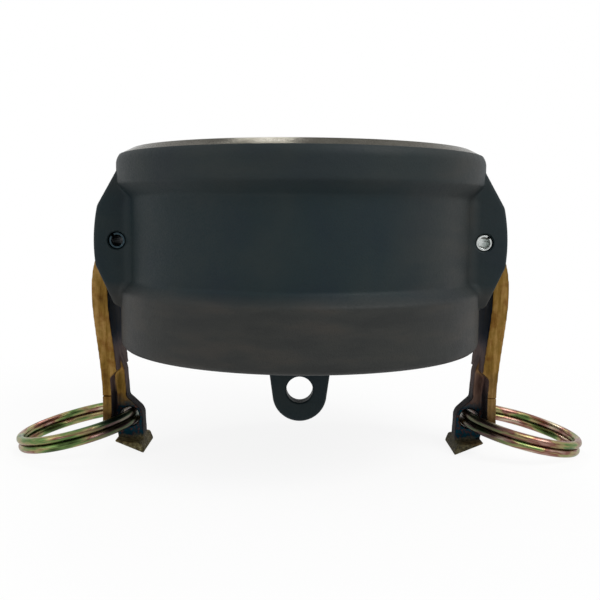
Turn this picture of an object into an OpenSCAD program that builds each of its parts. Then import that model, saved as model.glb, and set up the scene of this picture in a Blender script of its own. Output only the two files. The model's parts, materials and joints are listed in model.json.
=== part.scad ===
// Dust cap for a 4 inch cam-and-groove pipe coupling, standing mouth up on its two handles.
// Z = 0 is the machined rim of the mouth, Z points out of the mouth and X to the right handle.

/* [Cup] */
// Bore that slides over the male adapter
bore_d = 120.9; // [118:0.1:124]
// Wall of the rim band, outside the bore
rim_wall = 7.55; // [6:0.05:9]
// Wall of the waist below the band
waist_wall = 3.05; // [2.6:0.05:4]
// Wall at the closed end
base_wall = 6.55; // [5:0.05:7.5]
// Height of the whole cup, rim to closed end
cup_h = 72; // [68:0.5:80]
// Thickness of the closed end
end_t = 7.65; // [5:0.05:10]
// Straight height of the rim band
band_h = 12.5; // [10:0.5:14]
// Height of the slope from the band to the waist
band_slope_h = 4.7; // [3:0.1:6]
// Depth at which the waist starts to widen
waist_end = 47; // [46:0.5:50]
// Height of the slope from the waist to the closed end
base_slope_h = 4; // [3:0.1:5]
// Radius of the band's cast shoulder
shoulder_r = 5.6; // [3:0.1:6]
// Height of the turned face that breaks the shoulder at the top
rim_face_h = 2.2; // [1:0.1:2.8]
// How far the cast wall between the bore's two machined lands stands back
land_relief = 0.6; // [0.4:0.1:1]
// Lead-in chamfer of the bore
mouth_chamfer = 0.8; // [0.4:0.1:1.2]
// Rounding of the closed end's lower edge
end_edge_r = 3; // [1:0.1:4]

/* [Gasket] */
// Thickness of the flat gasket
gasket_t = 6.35; // [5:0.05:7]
// Width of the gasket's ring
gasket_w = 11.1; // [8:0.1:14]
// How far the gasket reaches out past the bore, into its groove
gasket_lap = 1.45; // [1:0.05:1.8]
// Clearance round the gasket in its groove
gasket_gap = 0.2; // [0.1:0.05:0.4]
// Extra height of the groove over the gasket
groove_lift = 0.5; // [0.3:0.1:1]
// Bevel of the gasket's edges
gasket_edge = 0.5; // [0.2:0.1:1]

/* [Ears] */
// Distance from the bore's edge out to each handle pin
pin_out = 4.95; // [4.4:0.05:6]
// Depth of the handle pins below the rim
pin_depth = 32.6; // [31:0.1:34]
// Gap between the two ears of a pair
ear_gap = 26; // [25:0.5:28]
// Thickness of one ear
ear_t = 7; // [5:0.5:9]
// Radius of the ear's outer curve
ear_r = 65; // [50:1:80]
// Reach of the ear beyond the pin
ear_reach = 7.9; // [6.5:0.1:10]
// Depth at which the ear's lower slope has died out in the closed end
ear_end = 62.9; // [60:0.1:64]
// Depth at which the ear's upper slope leaves the rim band
ear_top = 7; // [6:0.5:9]
// Cast fillet between an ear and the waist
ear_fillet = 3; // [1.5:0.1:4]

/* [Pins] */
// Outside diameter of the slotted spring pins
pin_d = 6.35; // [5:0.05:7]
// Wall of the rolled spring pin
pin_wall = 1.1; // [0.8:0.1:1.4]
// Width of the slit along the pin
pin_slit = 1.2; // [0.6:0.1:1.8]
// How far each pin end lies below the ear's face
pin_recess = 0.6; // [0.3:0.1:1.5]
// Clearance of the handle on its pin, on the radius
pin_play = 0.08; // [0.05:0.01:0.1]

/* [Handles] */
// Width of the cam head between the ears
head_w = 24.6; // [22:0.2:24.8]
// Radius of the cam head about the pin
head_r = 9.3; // [8.6:0.1:9.6]
// How far the closed cam reaches in past the bore
cam_reach = 5.4; // [4:0.1:6]
// Radius of the cam's nose
nose_r = 7.2; // [6:0.1:8]
// Metal between the pin and the cam's flat
cam_flat = 4.6; // [4.3:0.1:4.8]
// Opening angle at which the flat faces the bore
open_angle = 100; // [95:1:105]
// Width of the handle below the ears
grip_w = 21; // [18:0.5:24]
// Thickness of the handle's upper plate
plate_t = 6; // [5:0.1:7.2]
// How far the handle's shoulder stands out from the pin
shoulder_out = 9.6; // [9:0.1:11]
// Drop from the pin to the handle's shoulder
shoulder_drop = 5.4; // [4:0.1:7]
// How far the upper guide of the outer curve stands out from the closed end
bow_out = 14.3; // [12.5:0.1:16]
// Drop from the pin to the upper guide
bow_drop = 21.4; // [18:0.1:24]
// How far the lower guide stands out from the closed end
tail_out = 4.2; // [3.5:0.1:6]
// Drop from the pin to the lower guide
tail_drop = 43.4; // [40:0.1:46]
// How far the flange's outer face stands out from the closed end
flange_out = 7.1; // [6.2:0.1:8.5]
// Thickness of the handle's lower flange
flange_t = 3.4; // [2.6:0.1:4.5]
// Depth of the lower end of the flange
flange_end = 102.4; // [100:0.2:104]
// Thickness of the lower rib
rib_t = 7.4; // [5:0.2:9]
// How far the rib stands in from the flange at its top
rib_in = 2.9; // [2.5:0.1:4]
// Depth at which the upper plate steps down to the flange
step_depth = 81.3; // [79:0.2:84]
// Height of that slanting step
step_h = 2.7; // [2:0.1:4]
// Hole in the rib for the pull ring
eye_hole_d = 7.3; // [7:0.1:7.6]
// Radius of the boss round the eye hole
eye_r = 5; // [4.9:0.1:5.4]
// How far the eye lies inside the pin
eye_in = 0.1; // [-0.2:0.1:0.5]
// Depth of the eye
eye_depth = 100.6; // [99.8:0.1:101]
// Depth of the handle's toe, the plane that the cap stands on
toe_depth = 113.4; // [113:0.1:114.5]
// Width of the toe
toe_w = 20; // [16:0.5:22]
// Reach of the toe inwards from the eye, to the edge that it stands on
toe_in = 6.6; // [5.5:0.1:7.5]
// Reach of the toe outwards from the eye
toe_out = 4.5; // [3.5:0.1:5.5]
// Rise of the toe's underside from its inner edge to its outer one
toe_rise = 4.6; // [3.5:0.1:5.5]
// Height of the toe over its inner edge
toe_h = 3.9; // [3:0.1:4.5]

/* [Rings] */
// Wire of the pull rings
wire_d = 3; // [2.4:0.1:3.1]
// Diameter of a ring at the middle of its wire
ring_d = 42.4; // [40:0.1:48]
// Free gap between the two turns
turn_gap = 0.06; // [0.04:0.01:0.2]
// Angle that the crossing of the wire takes up
cross_angle = 44; // [36:1:60]

/* [Lug] */
// Thickness of the chain lug
lug_t = 7; // [5:0.5:10]
// Half width of the lug where it leaves the closed end
lug_half_w = 12.7; // [11.5:0.1:16]
// Radius of the lug's tip
lug_r = 10.4; // [9.5:0.1:11.5]
// Depth of the lug's tip below the rim
lug_tip = 102.3; // [100:0.1:106]
// Chain hole in the lug
chain_hole_d = 10.2; // [6:0.1:11]
// Depth of the chain hole below the rim
chain_hole_depth = 89.9; // [89.5:0.1:91]
// Cast fillet at the lug's root
lug_root_r = 4; // [2:0.5:6]

/* [Hidden] */
$fn = 96;
eps = 0.01;
bore_r = bore_d / 2;
rim_r = bore_r + rim_wall;
waist_r = bore_r + waist_wall;
base_r = bore_r + base_wall;
pin_x = bore_r + pin_out;
eye_x = pin_x - eye_in;
gasket_r = bore_r + gasket_lap;
floor_z = end_t - cup_h;
groove_r = gasket_r + gasket_gap;
groove_top = floor_z + gasket_t + groove_lift;
pin_z = -pin_depth;
pin_r = pin_d / 2;
pin_hole_r = pin_r + 0.02;
ear_out = ear_gap / 2 + ear_t;
pin_len = 2 * (ear_out - pin_recess);
head_clear = 0.8;
slot_top = pin_z + head_r + head_clear;
slot_end = pin_z - 1.32 * head_r;
land_end = slot_top + 1;
low_land_top = slot_end - 1;
ring_pitch = wire_d + turn_gap;
// Slope at which a ring in its eye just touches the plane that the toes stand on
ring_slope = asin((toe_depth - eye_depth - wire_d / 2) / norm([ring_d, ring_pitch / 2]))
    - atan2(ring_pitch / 2, ring_d);
cast_color = "#33373a";
plate_color = "#a87a34";
ring_color = "#9c9a5c";
pin_color = "#3c3f42";
rubber_color = "#17181a";

// Point of a cubic curve with four guide points, and its slope, at t from 0 to 1
function curve(p, t) = pow(1 - t, 3) * p[0] + 3 * t * pow(1 - t, 2) * p[1]
    + 3 * t * t * (1 - t) * p[2] + pow(t, 3) * p[3];
function curve_slope(p, t) = 3 * pow(1 - t, 2) * (p[1] - p[0])
    + 6 * t * (1 - t) * (p[2] - p[1]) + 3 * t * t * (p[3] - p[2]);
function unit(v) = v / norm(v);
// The same curve moved sideways by d, to its right when walking along it
function curve_beside(p, t, d) = curve(p, t) + d * unit([curve_slope(p, t)[1], -curve_slope(p, t)[0]]);
function along(a, b, steps) = [for (i = [0:steps]) a + (b - a) * i / steps];
// Where the tangent from point q touches the right side of a circle with centre c and radius r
function touch(q, c, r) = let (d = norm(q - c), a = atan2(q[1] - c[1], q[0] - c[0]) - acos(r / d))
    c + r * [cos(a), sin(a)];

// Guide points of the handle's outer face, from the head down to the flange's end
handle_guide = [[pin_x + shoulder_out, pin_z - shoulder_drop], [base_r + bow_out, pin_z - bow_drop],
                [base_r + tail_out, pin_z - tail_drop], [base_r + flange_out, -flange_end]];
flange_in_x = base_r + flange_out - flange_t;
// Place along that curve at which the thick plate ends
step_at = 0.735;

// Turns an outline drawn in X and Z into a slab that is centred on Y
module slab(width) {
    rotate([90, 0, 0]) linear_extrude(height = width, center = true) children();
}

module both_sides() {
    children();
    mirror([1, 0, 0]) children();
}

// Lower end of the turned rim face, from the middle of the shoulder's round
rim_face_end = [sqrt(pow(shoulder_r, 2) - pow(shoulder_r - rim_face_h, 2)), shoulder_r - rim_face_h];

// Section of the cup's outside
module cup_section() {
    polygon([[0, -cup_h], [base_r - end_edge_r, -cup_h], [base_r - end_edge_r, -cup_h + end_edge_r],
             [base_r, -cup_h + end_edge_r], [base_r, -waist_end - base_slope_h], [waist_r, -waist_end],
             [waist_r, -band_h - band_slope_h], [rim_r, -band_h], [rim_r, -shoulder_r],
             [rim_r - shoulder_r, -shoulder_r], [rim_r - shoulder_r, 0], [0, 0]]);
    translate([rim_r - shoulder_r, -shoulder_r]) intersection() {
        circle(shoulder_r);
        // Below this line the shoulder is left as cast, and above it the rim is turned
        polygon([[0, 0], [shoulder_r, 0], [shoulder_r, rim_face_end[1]], rim_face_end, [0, shoulder_r]]);
    }
    translate([base_r - end_edge_r, -cup_h + end_edge_r]) intersection() {
        circle(end_edge_r);
        translate([0, -end_edge_r]) square(end_edge_r);
    }
}

// Section of everything that is turned out of the cup
module cup_hollow() {
    relief_r = bore_r + land_relief;
    polygon([[0, floor_z], [groove_r, floor_z], [groove_r, groove_top],
             [bore_r, groove_top + groove_r - bore_r], [bore_r, low_land_top - land_relief],
             [relief_r, low_land_top], [relief_r, land_end], [bore_r, land_end + land_relief],
             [bore_r, -mouth_chamfer], [bore_r + mouth_chamfer, 0], [bore_r + mouth_chamfer, 1], [0, 1]]);
}

// Outline of one ear: a slope off the rim, a round nose over the pin and a slope back to the closed end
module ear_outline() {
    nose_x = pin_x + ear_reach - ear_r;
    root_x = bore_r - ear_t;
    far_x = pin_x + 1.4 * ear_reach;
    intersection() {
        translate([nose_x, pin_z - 1.4]) circle(ear_r, $fn = 180);
        polygon([[root_x, -ear_top], [pin_x - 2.2, -ear_top], [far_x, pin_z + 3.1], [far_x, pin_z - 1],
                 [pin_x - 2.2, -ear_end], [root_x, -ear_end]]);
    }
}

// Fillet in the corner where an ear's flat face meets the round waist
module ear_corner_fillet() {
    reach = waist_r + ear_fillet;
    y = ear_out + ear_fillet;
    x = sqrt(reach * reach - y * y);
    corner_x = sqrt(waist_r * waist_r - ear_out * ear_out);
    on_waist = [x, y] * waist_r / reach;
    difference() {
        polygon([[x, ear_out - 0.5], [x, ear_out], on_waist, on_waist * 0.98, [corner_x - 1, ear_out - 0.5]]);
        translate([x, y]) circle(ear_fillet);
    }
}

module ears() {
    for (side = [-1, 1]) {
        translate([0, side * (ear_gap + ear_t) / 2, 0]) slab(ear_t) ear_outline();
    }
    for (side = [0, 1]) {
        mirror([0, side, 0]) translate([0, 0, -waist_end]) {
            linear_extrude(waist_end - band_h - band_slope_h / 2) ear_corner_fillet();
        }
    }
}

// Chain lug: a flat tab with straight sides that run into a round tip
module lug_outline() {
    tip = [0, lug_r - lug_tip];
    root = [lug_half_w, -cup_h - lug_root_r];
    side = touch(root, tip, lug_r);
    translate(tip) circle(lug_r);
    polygon([[-root[0], eps - cup_h], [root[0], eps - cup_h], root, side, tip, [-side[0], side[1]],
             [-root[0], root[1]]]);
    for (turn = [0, 1]) {
        mirror([turn, 0]) difference() {
            translate([lug_half_w - eps, -cup_h - lug_root_r]) square(lug_root_r + eps);
            translate([lug_half_w + lug_root_r, -cup_h - lug_root_r]) circle(lug_root_r);
        }
    }
}

module cap_body() {
    color(cast_color) difference() {
        union() {
            rotate_extrude() cup_section();
            both_sides() ears();
            slab(lug_t) lug_outline();
        }
        rotate_extrude() cup_hollow();
        both_sides() {
            // Slot through the wall, in which the cam swings
            translate([pin_x - ear_gap / 2, -ear_gap / 2, slot_end]) {
                cube([ear_gap, ear_gap, slot_top - slot_end]);
            }
            // Hole for the spring pin
            translate([pin_x, 0, pin_z]) rotate([90, 0, 0]) {
                cylinder(r = pin_hole_r, h = 2 * ear_out + 2, center = true);
            }
        }
        translate([0, 0, -chain_hole_depth]) rotate([90, 0, 0]) {
            cylinder(d = chain_hole_d, h = lug_t + 2, center = true);
        }
    }
}

module gasket() {
    inner = gasket_r - gasket_w;
    side = gasket_t - gasket_edge;
    color(rubber_color) rotate_extrude() translate([0, floor_z]) {
        polygon([[inner, 0], [gasket_r, 0], [gasket_r, side], [gasket_r - gasket_edge, gasket_t],
                 [inner + gasket_edge, gasket_t], [inner, side]]);
    }
}

// Spring pin: a rolled sleeve with a slit, drawn at the right side
module handle_pin() {
    bevel = 0.4;
    half = pin_len / 2;
    color(pin_color) translate([pin_x, 0, pin_z]) rotate([90, 0, 0]) difference() {
        rotate_extrude() polygon([[0, -half], [pin_r - bevel, -half], [pin_r, bevel - half],
                                  [pin_r, half - bevel], [pin_r - bevel, half], [0, half]]);
        cylinder(r = pin_r - pin_wall, h = pin_len + 2, center = true);
        rotate([0, 0, 50]) translate([0, -pin_slit / 2, -half - 1]) cube([pin_d, pin_slit, pin_len + 2]);
    }
}

// Outline of the cam head about its pin, cut by the flat that lets the adapter past when open
module head_outline() {
    nose_x = nose_r - (pin_x - bore_r + cam_reach);
    difference() {
        union() {
            circle(head_r);
            translate([nose_x, -1.2]) circle(nose_r);
        }
        rotate(180 - open_angle) translate([cam_flat, -20]) square([20, 40]);
    }
}

// Outline of the handle's plate: the outer curve and the same curve one thickness further in
module plate_outline(thick, from, to, steps) {
    polygon(concat([for (t = along(from, to, steps)) curve(handle_guide, t)],
                   [for (t = along(to, from, steps)) curve_beside(handle_guide, t, thick)]));
}

// Neck that carries the plate up to the head, clear of the waist
module neck_outline() {
    top = curve(handle_guide, 0);
    low = curve(handle_guide, 0.3);
    polygon([[pin_x - 1, pin_z - head_r + 1.5], [pin_x, pin_z], [pin_x + head_r, pin_z], top,
             curve(handle_guide, 0.12), low, curve_beside(handle_guide, 0.3, plate_t),
             curve_beside(handle_guide, 0.2, plate_t)]);
}

// Lower end of the thick plate, with its slanting step down to the flange
module step_outline() {
    above = 0.66;
    below = 0.79;
    polygon([curve(handle_guide, above), curve(handle_guide, step_at), curve(handle_guide, below),
             curve_beside(handle_guide, below, flange_t - 0.5),
             [flange_in_x + 0.3, -step_depth - step_h - 0.5],
             [flange_in_x + 0.9 - flange_t, -step_depth], curve_beside(handle_guide, step_at, plate_t),
             curve_beside(handle_guide, above, plate_t)]);
}

// Central rib below the step: it runs down to the eye boss and the toe
module rib_outline() {
    shoulder_angle = 140;
    translate([eye_x, -eye_depth]) circle(eye_r);
    polygon([[flange_in_x + 1, -step_depth + 6], [flange_in_x - rib_in + 1.5, -step_depth + 6],
             [flange_in_x - rib_in, -step_depth - 0.7],
             [eye_x + 0.9, -eye_depth + 1.52 * eye_r],
             [eye_x + eye_r * cos(shoulder_angle), -eye_depth + eye_r * sin(shoulder_angle)],
             [eye_x, -eye_depth], [eye_x - eye_r, -eye_depth],
             [eye_x - eye_r - 0.4, -toe_depth + toe_h - 1.1],
             [eye_x + toe_out - 0.1, -toe_depth + toe_rise + 0.1], [flange_in_x, -flange_end],
             [flange_in_x + 1, -flange_end]]);
}

// Toe: a wedge across the end of the rib, thin at its outer end
module toe_outline() {
    polygon([[eye_x - toe_in, -toe_depth], [eye_x + toe_out, -toe_depth + toe_rise],
             [eye_x + toe_out - 0.1, -toe_depth + toe_rise + 0.6], [eye_x - toe_in + 1.2, -toe_depth + toe_h],
             [eye_x - toe_in, -toe_depth + 0.9]]);
}

// Handle with its cam, drawn at the right side
module cam_handle() {
    color(plate_color) difference() {
        union() {
            translate([pin_x, 0, pin_z]) slab(head_w) head_outline();
            slab(grip_w) {
                neck_outline();
                plate_outline(plate_t, 0.2, step_at, 16);
                plate_outline(flange_t, 0.6, 1, 10);
                step_outline();
            }
            slab(rib_t) rib_outline();
            slab(toe_w) toe_outline();
        }
        translate([pin_x, 0, pin_z]) rotate([90, 0, 0]) {
            cylinder(r = pin_r + pin_play, h = head_w + 2, center = true);
        }
        translate([eye_x, 0, -eye_depth]) rotate([90, 0, 0]) {
            cylinder(d = eye_hole_d, h = rib_t + 2, center = true);
        }
    }
}

// Height of the wire's middle along the crossing, at u from 0 to 1, and a section there of radius r
function cross_height(u) = ring_pitch * (u * u * (3 - 2 * u) - 0.5);
function cross_section(u, r, sides) = let (a = cross_angle * (u - 0.5))
    [for (k = [0:sides - 1]) let (b = 360 * k / sides, d = ring_d / 2 + r * cos(b))
        [d * cos(a), d * sin(a), cross_height(u) + r * sin(b)]];

// Crossing where the wire steps from the lower turn to the upper one, with its ends inside both
module ring_crossing() {
    sides = 24;
    steps = 10;
    lap = 0.04;
    r = wire_d / 2 - 0.06;
    points = [for (u = along(-lap, 1 + lap, steps)) each cross_section(u, r, sides)];
    walls = [for (i = [0:steps - 1], k = [0:sides - 1])
        let (a = i * sides + k, b = i * sides + (k + 1) % sides) [a, b, b + sides, a + sides]];
    ends = [[for (k = [sides - 1:-1:0]) k], [for (k = [0:sides - 1]) steps * sides + k]];
    polyhedron(points, concat(ends, walls));
}

// Split ring: two flat turns of wire joined by one crossing, lying in X and Y round its own centre
module split_ring() {
    gap = 3;
    ring_r = ring_d / 2;
    turn = 360 - cross_angle - gap;
    translate([0, 0, -ring_pitch / 2]) rotate([0, 0, cross_angle / 2 + gap]) {
        rotate_extrude(angle = turn) translate([ring_r, 0]) circle(d = wire_d);
    }
    translate([0, 0, ring_pitch / 2]) rotate([0, 0, cross_angle / 2]) {
        rotate_extrude(angle = turn) translate([ring_r, 0]) circle(d = wire_d);
    }
    ring_crossing();
}

// Ring through the eye of the right handle, sloping down to the table
module pull_ring() {
    crossing_at = 140;
    color(ring_color) translate([eye_x, 0, -eye_depth]) rotate([0, ring_slope, 0]) {
        translate([ring_d / 2, 0, 0]) rotate([0, 0, crossing_at]) split_ring();
    }
}

cap_body();
gasket();
mirror([1, 0, 0]) handle_pin();  // handle_pin_left
handle_pin();  // handle_pin_right
mirror([1, 0, 0]) cam_handle();  // cam_handle_left
cam_handle();  // cam_handle_right
mirror([1, 0, 0]) pull_ring();  // pull_ring_left
pull_ring();  // pull_ring_right
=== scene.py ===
# Looks of a cast dust cap for a cam-and-groove pipe coupling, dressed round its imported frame.
# Lengths are in millimetres in the dictionaries and become metres when a mesh is made.
import json
import math

import bmesh
import bpy
import numpy as np
from mathutils import Matrix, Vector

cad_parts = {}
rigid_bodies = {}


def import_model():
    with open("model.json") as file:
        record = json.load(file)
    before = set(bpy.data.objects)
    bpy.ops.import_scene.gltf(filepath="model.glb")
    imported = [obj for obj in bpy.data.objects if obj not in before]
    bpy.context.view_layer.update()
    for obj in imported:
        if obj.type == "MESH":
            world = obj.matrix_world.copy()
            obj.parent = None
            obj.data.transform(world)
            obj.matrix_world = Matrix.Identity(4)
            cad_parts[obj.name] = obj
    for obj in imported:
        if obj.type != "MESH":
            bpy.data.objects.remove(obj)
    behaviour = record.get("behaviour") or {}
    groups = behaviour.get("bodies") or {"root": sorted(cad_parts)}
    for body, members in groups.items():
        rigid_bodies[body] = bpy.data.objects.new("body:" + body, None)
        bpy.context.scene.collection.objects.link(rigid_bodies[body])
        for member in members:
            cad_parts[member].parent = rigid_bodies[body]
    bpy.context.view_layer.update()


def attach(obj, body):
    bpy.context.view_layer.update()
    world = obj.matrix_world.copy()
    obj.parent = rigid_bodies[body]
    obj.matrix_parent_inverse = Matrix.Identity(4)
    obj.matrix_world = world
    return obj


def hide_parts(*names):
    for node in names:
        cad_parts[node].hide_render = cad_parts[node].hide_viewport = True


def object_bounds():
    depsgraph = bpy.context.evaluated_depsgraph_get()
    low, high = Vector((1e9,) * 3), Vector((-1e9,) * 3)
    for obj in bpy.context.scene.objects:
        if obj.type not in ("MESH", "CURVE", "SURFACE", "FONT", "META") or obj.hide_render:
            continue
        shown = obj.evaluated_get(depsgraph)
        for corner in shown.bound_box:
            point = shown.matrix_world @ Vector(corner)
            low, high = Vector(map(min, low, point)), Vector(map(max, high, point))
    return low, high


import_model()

mm = 0.001
turn = 2 * math.pi
for item in list(bpy.data.objects):
    if item.type in {"LIGHT", "CAMERA"}:
        bpy.data.objects.remove(item)


# Mesh in metres from points in millimetres.
def makeMesh(name, points, faces, materials, faceMaterial=None):
    mesh = bpy.data.meshes.new(name)
    mesh.from_pydata(np.asarray(points, float) * mm, [], faces)
    for material in materials:
        mesh.materials.append(material)
    if faceMaterial is not None:
        mesh.polygons.foreach_set("material_index", np.asarray(faceMaterial, np.int32))
    mesh.update()
    return mesh


# Quads between neighbouring points of a rows x columns grid.
def gridFaces(rows, columns, closeRows=False, closeColumns=True):
    i = np.arange(rows if closeRows else rows - 1)
    j = np.arange(columns if closeColumns else columns - 1)
    i, j = np.meshgrid(i, j, indexing="ij")
    down, right = (i + 1) % rows, (j + 1) % columns
    quads = np.stack([i * columns + j, i * columns + right, down * columns + right, down * columns + j], -1)
    return quads.reshape(-1, 4)


# Line through corners (x, y, radius): an arc of that radius, tangent to both sides, stands in each
# corner.
def roundCorners(corners, steps=6):
    p = np.array([c[:2] for c in corners], float)
    line = []
    for k, (x, y, radius) in enumerate(corners):
        if radius <= 0:
            line.append(p[k][None])
            continue
        a, b = p[k - 1] - p[k], p[(k + 1) % len(p)] - p[k]
        a, b = a / np.linalg.norm(a), b / np.linalg.norm(b)
        half = math.acos(np.clip(a @ b, -1, 1)) / 2
        middle = p[k] + (a + b) / np.linalg.norm(a + b) * radius / math.sin(half)
        start, end = p[k] + a * radius / math.tan(half), p[k] + b * radius / math.tan(half)
        first = math.atan2(*(start - middle)[::-1])
        sweep = (math.atan2(*(end - middle)[::-1]) - first + math.pi) % turn - math.pi
        angle = first + sweep * np.linspace(0, 1, steps + 1)
        line.append(middle + radius * np.stack([np.cos(angle), np.sin(angle)], -1))
    return np.concatenate(line)


# Slab with an outline in x and z and flat ends at y = low and y = high, as points and faces.
def prism(outline, low, high):
    count = len(outline)
    points = np.concatenate([np.insert(outline, 1, low, axis=1), np.insert(outline, 1, high, axis=1)])
    faces = gridFaces(2, count).tolist() + [list(range(count)), list(range(2 * count - 1, count - 1, -1))]
    return points, faces


# Slab whose outline in x and z draws in along its own normals by a quarter round at both faces.
def roundedSlab(outline, half, edge, steps=5):
    before, after = np.roll(outline, 1, axis=0), np.roll(outline, -1, axis=0)
    along = after - before
    normal = np.stack([along[:, 1], -along[:, 0]], -1) / np.linalg.norm(along, axis=1)[:, None]
    area = np.sum(outline[:, 0] * after[:, 1] - after[:, 0] * outline[:, 1])
    normal *= np.sign(area)
    angle = np.linspace(0, math.pi / 2, steps + 1)
    inset = np.concatenate([edge * (1 - np.sin(angle)), edge * (1 - np.sin(angle[::-1]))])
    place = np.concatenate([-half + edge * (1 - np.cos(angle)), half - edge * (1 - np.cos(angle[::-1]))])
    rows = outline[None] - inset[:, None, None] * normal[None]
    points = np.insert(rows, 1, 0, axis=2)
    points[:, :, 1] = place[:, None]
    count = len(outline)
    last = (len(place) - 1) * count
    faces = gridFaces(len(place), count).tolist()
    faces += [list(range(count)), list(range(last + count - 1, last - 1, -1))]
    return points.reshape(-1, 3), faces


# Surface of revolution: a section in (radius, height) carried round an axis through centre.
def spun(section, centre=(0, 0, 0), around="z", columns=64, closed=False):
    angle = np.arange(columns) / columns * turn
    radius, height = section[:, 0][:, None], section[:, 1][:, None] * np.ones(columns)
    first, second = radius * np.cos(angle), radius * np.sin(angle)
    order = (first, second, height) if around == "z" else (second, height, first)
    points = np.stack(order, -1) + np.array(centre, float)
    return points.reshape(-1, 3), gridFaces(len(section), columns, closeRows=closed).tolist()


# Several (points, faces) as one.
def joined(parts):
    points, faces, start = [], [], 0
    for partPoints, partFaces in parts:
        points.append(partPoints)
        faces += [[start + v for v in face] for face in partFaces]
        start += len(partPoints)
    return np.concatenate(points), faces


# The same form on the other side of x = 0, still facing outwards.
def mirrored(part):
    points, faces = part
    return points * [-1, 1, 1], [list(face)[::-1] for face in faces]


# Object at the origin, linked to the scene.
def makeObject(mesh):
    thing = bpy.data.objects.new(mesh.name, mesh)
    bpy.context.scene.collection.objects.link(thing)
    return thing


# Merges the points of poles and seams and turns all faces outwards.
def facingOut(mesh, near=1e-7):
    work = bmesh.new()
    work.from_mesh(mesh)
    bmesh.ops.remove_doubles(work, verts=work.verts, dist=near)
    bmesh.ops.dissolve_degenerate(work, edges=work.edges, dist=near)
    bmesh.ops.recalc_face_normals(work, faces=work.faces)
    work.to_mesh(mesh)
    work.free()
    return mesh


# Applies modifiers, given as (kind, settings), and keeps the result as the object's mesh.
def withModifiers(thing, steps):
    for kind, settings in steps:
        modifier = thing.modifiers.new(kind.lower(), kind)
        for name, value in settings.items():
            setattr(modifier, name, value)
    graph = bpy.context.evaluated_depsgraph_get()
    mesh = bpy.data.meshes.new_from_object(thing.evaluated_get(graph))
    thing.modifiers.clear()
    old, thing.data = thing.data, mesh
    mesh.name = thing.name
    bpy.data.meshes.remove(old)
    return thing


# Joins or cuts a form, given as (points, faces), with or from an object.
def carve(thing, part, operation, materials, material=0):
    tool = makeObject(facingOut(makeMesh("tool", *part, materials, [material] * len(part[1]))))
    withModifiers(thing, [("BOOLEAN", dict(object=tool, operation=operation, solver="EXACT"))])
    mesh = tool.data
    bpy.data.objects.remove(tool)
    bpy.data.meshes.remove(mesh)


# Smooth shading with crisp edges, and the piece's place in the frame.
def finish(thing, body, node, sharpAngle=35):
    thing.data.shade_smooth()
    thing.data.set_sharp_from_angle(angle=math.radians(sharpAngle))
    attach(thing, body)
    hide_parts(node)
    print(f"{thing.name}: {len(thing.data.polygons)} faces")


# sRGB hex to the linear colour that a socket takes.
def toLinear(hexColour):
    value = np.array([int(hexColour[k:k + 2], 16) for k in (1, 3, 5)]) / 255
    linear = np.where(value <= 0.04045, value / 12.92, ((value + 0.055) / 1.055) ** 2.4)
    return (*linear.tolist(), 1.0)


# Adds a node, with its settings, and its inputs as values or as links.
def addNode(tree, kind, inputs=None, **settings):
    node = tree.nodes.new("ShaderNode" + kind)
    for name, value in settings.items():
        setattr(node, name, value)
    for name, value in (inputs or {}).items():
        if isinstance(value, bpy.types.NodeSocket):
            tree.links.new(value, node.inputs[name])
        else:
            node.inputs[name].default_value = value
    return node


# Empty material, with its tree, its object coordinates and its shader.
def newMaterial(name):
    material = bpy.data.materials.new(name)
    material.use_nodes = True
    tree = material.node_tree
    tree.nodes.clear()
    shader = addNode(tree, "BsdfPrincipled")
    addNode(tree, "OutputMaterial", {"Surface": shader.outputs[0]})
    place = addNode(tree, "TexCoord")
    return material, tree, shader, place


# Noise whose spots are about size millimetres across, longer along an axis whose stretch is above 1.
def noise(tree, place, size, detail=4, rough=0.5, stretch=(1, 1, 1)):
    scaled = addNode(tree, "Mapping", {"Vector": place, "Scale": [1 / s for s in stretch]})
    texture = addNode(tree, "TexNoise", {"Vector": scaled.outputs[0], "Scale": 1 / (size * mm),
                                         "Detail": detail, "Roughness": rough})
    return texture.outputs[0]


# Colour ramp with stops (position, hex colour).
def ramp(tree, value, stops):
    node = addNode(tree, "ValToRGB", {0: value})
    elements = node.color_ramp.elements
    while len(elements) < len(stops):
        elements.new(0.5)
    for element, (position, colour) in zip(elements, stops):
        element.position = position
        element.color = toLinear(colour)
    return node.outputs[0]


# Value carried from one range to another, held at the ends.
def mapped(tree, value, fromLow, fromHigh, toLow, toHigh):
    inputs = {"Value": value, "From Min": fromLow, "From Max": fromHigh, "To Min": toLow, "To Max": toHigh}
    return addNode(tree, "MapRange", inputs).outputs[0]


# Colour between two colours, or one laid on the other.
def mixed(tree, share, first, second, blend="MIX"):
    node = addNode(tree, "Mix", {0: share, 6: first, 7: second}, data_type="RGBA", blend_type=blend)
    return node.outputs[2]


# One sum on one or two numbers.
def maths(tree, operation, first, second=0.0):
    return addNode(tree, "Math", {0: first, 1: second}, operation=operation).outputs[0]


# Bump from several (height, depth in millimetres), one on top of the other.
def bumps(tree, heights):
    normal = None
    for height, depth in heights:
        inputs = {"Height": height, "Strength": 1.0, "Distance": depth * mm}
        if normal is not None:
            inputs["Normal"] = normal
        normal = addNode(tree, "Bump", inputs).outputs[0]
    return normal


view = dict(
    place=(0, -306, -23),  # mm, at the photograph's viewpoint
    down=0.106,            # radians that it looks down
    roll=0.0072,
    lens=48.18,
    shift=-0.0003,
)
lights = dict(
    # name: (place in mm, size in mm, watts)
    key=((460, -460, 560), 520, 4.8),
    fill=((-560, -420, 200), 420, 0.9),
    back=((-80, 430, 520), 130, 0.86),
)
ambient = 0.44


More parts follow.
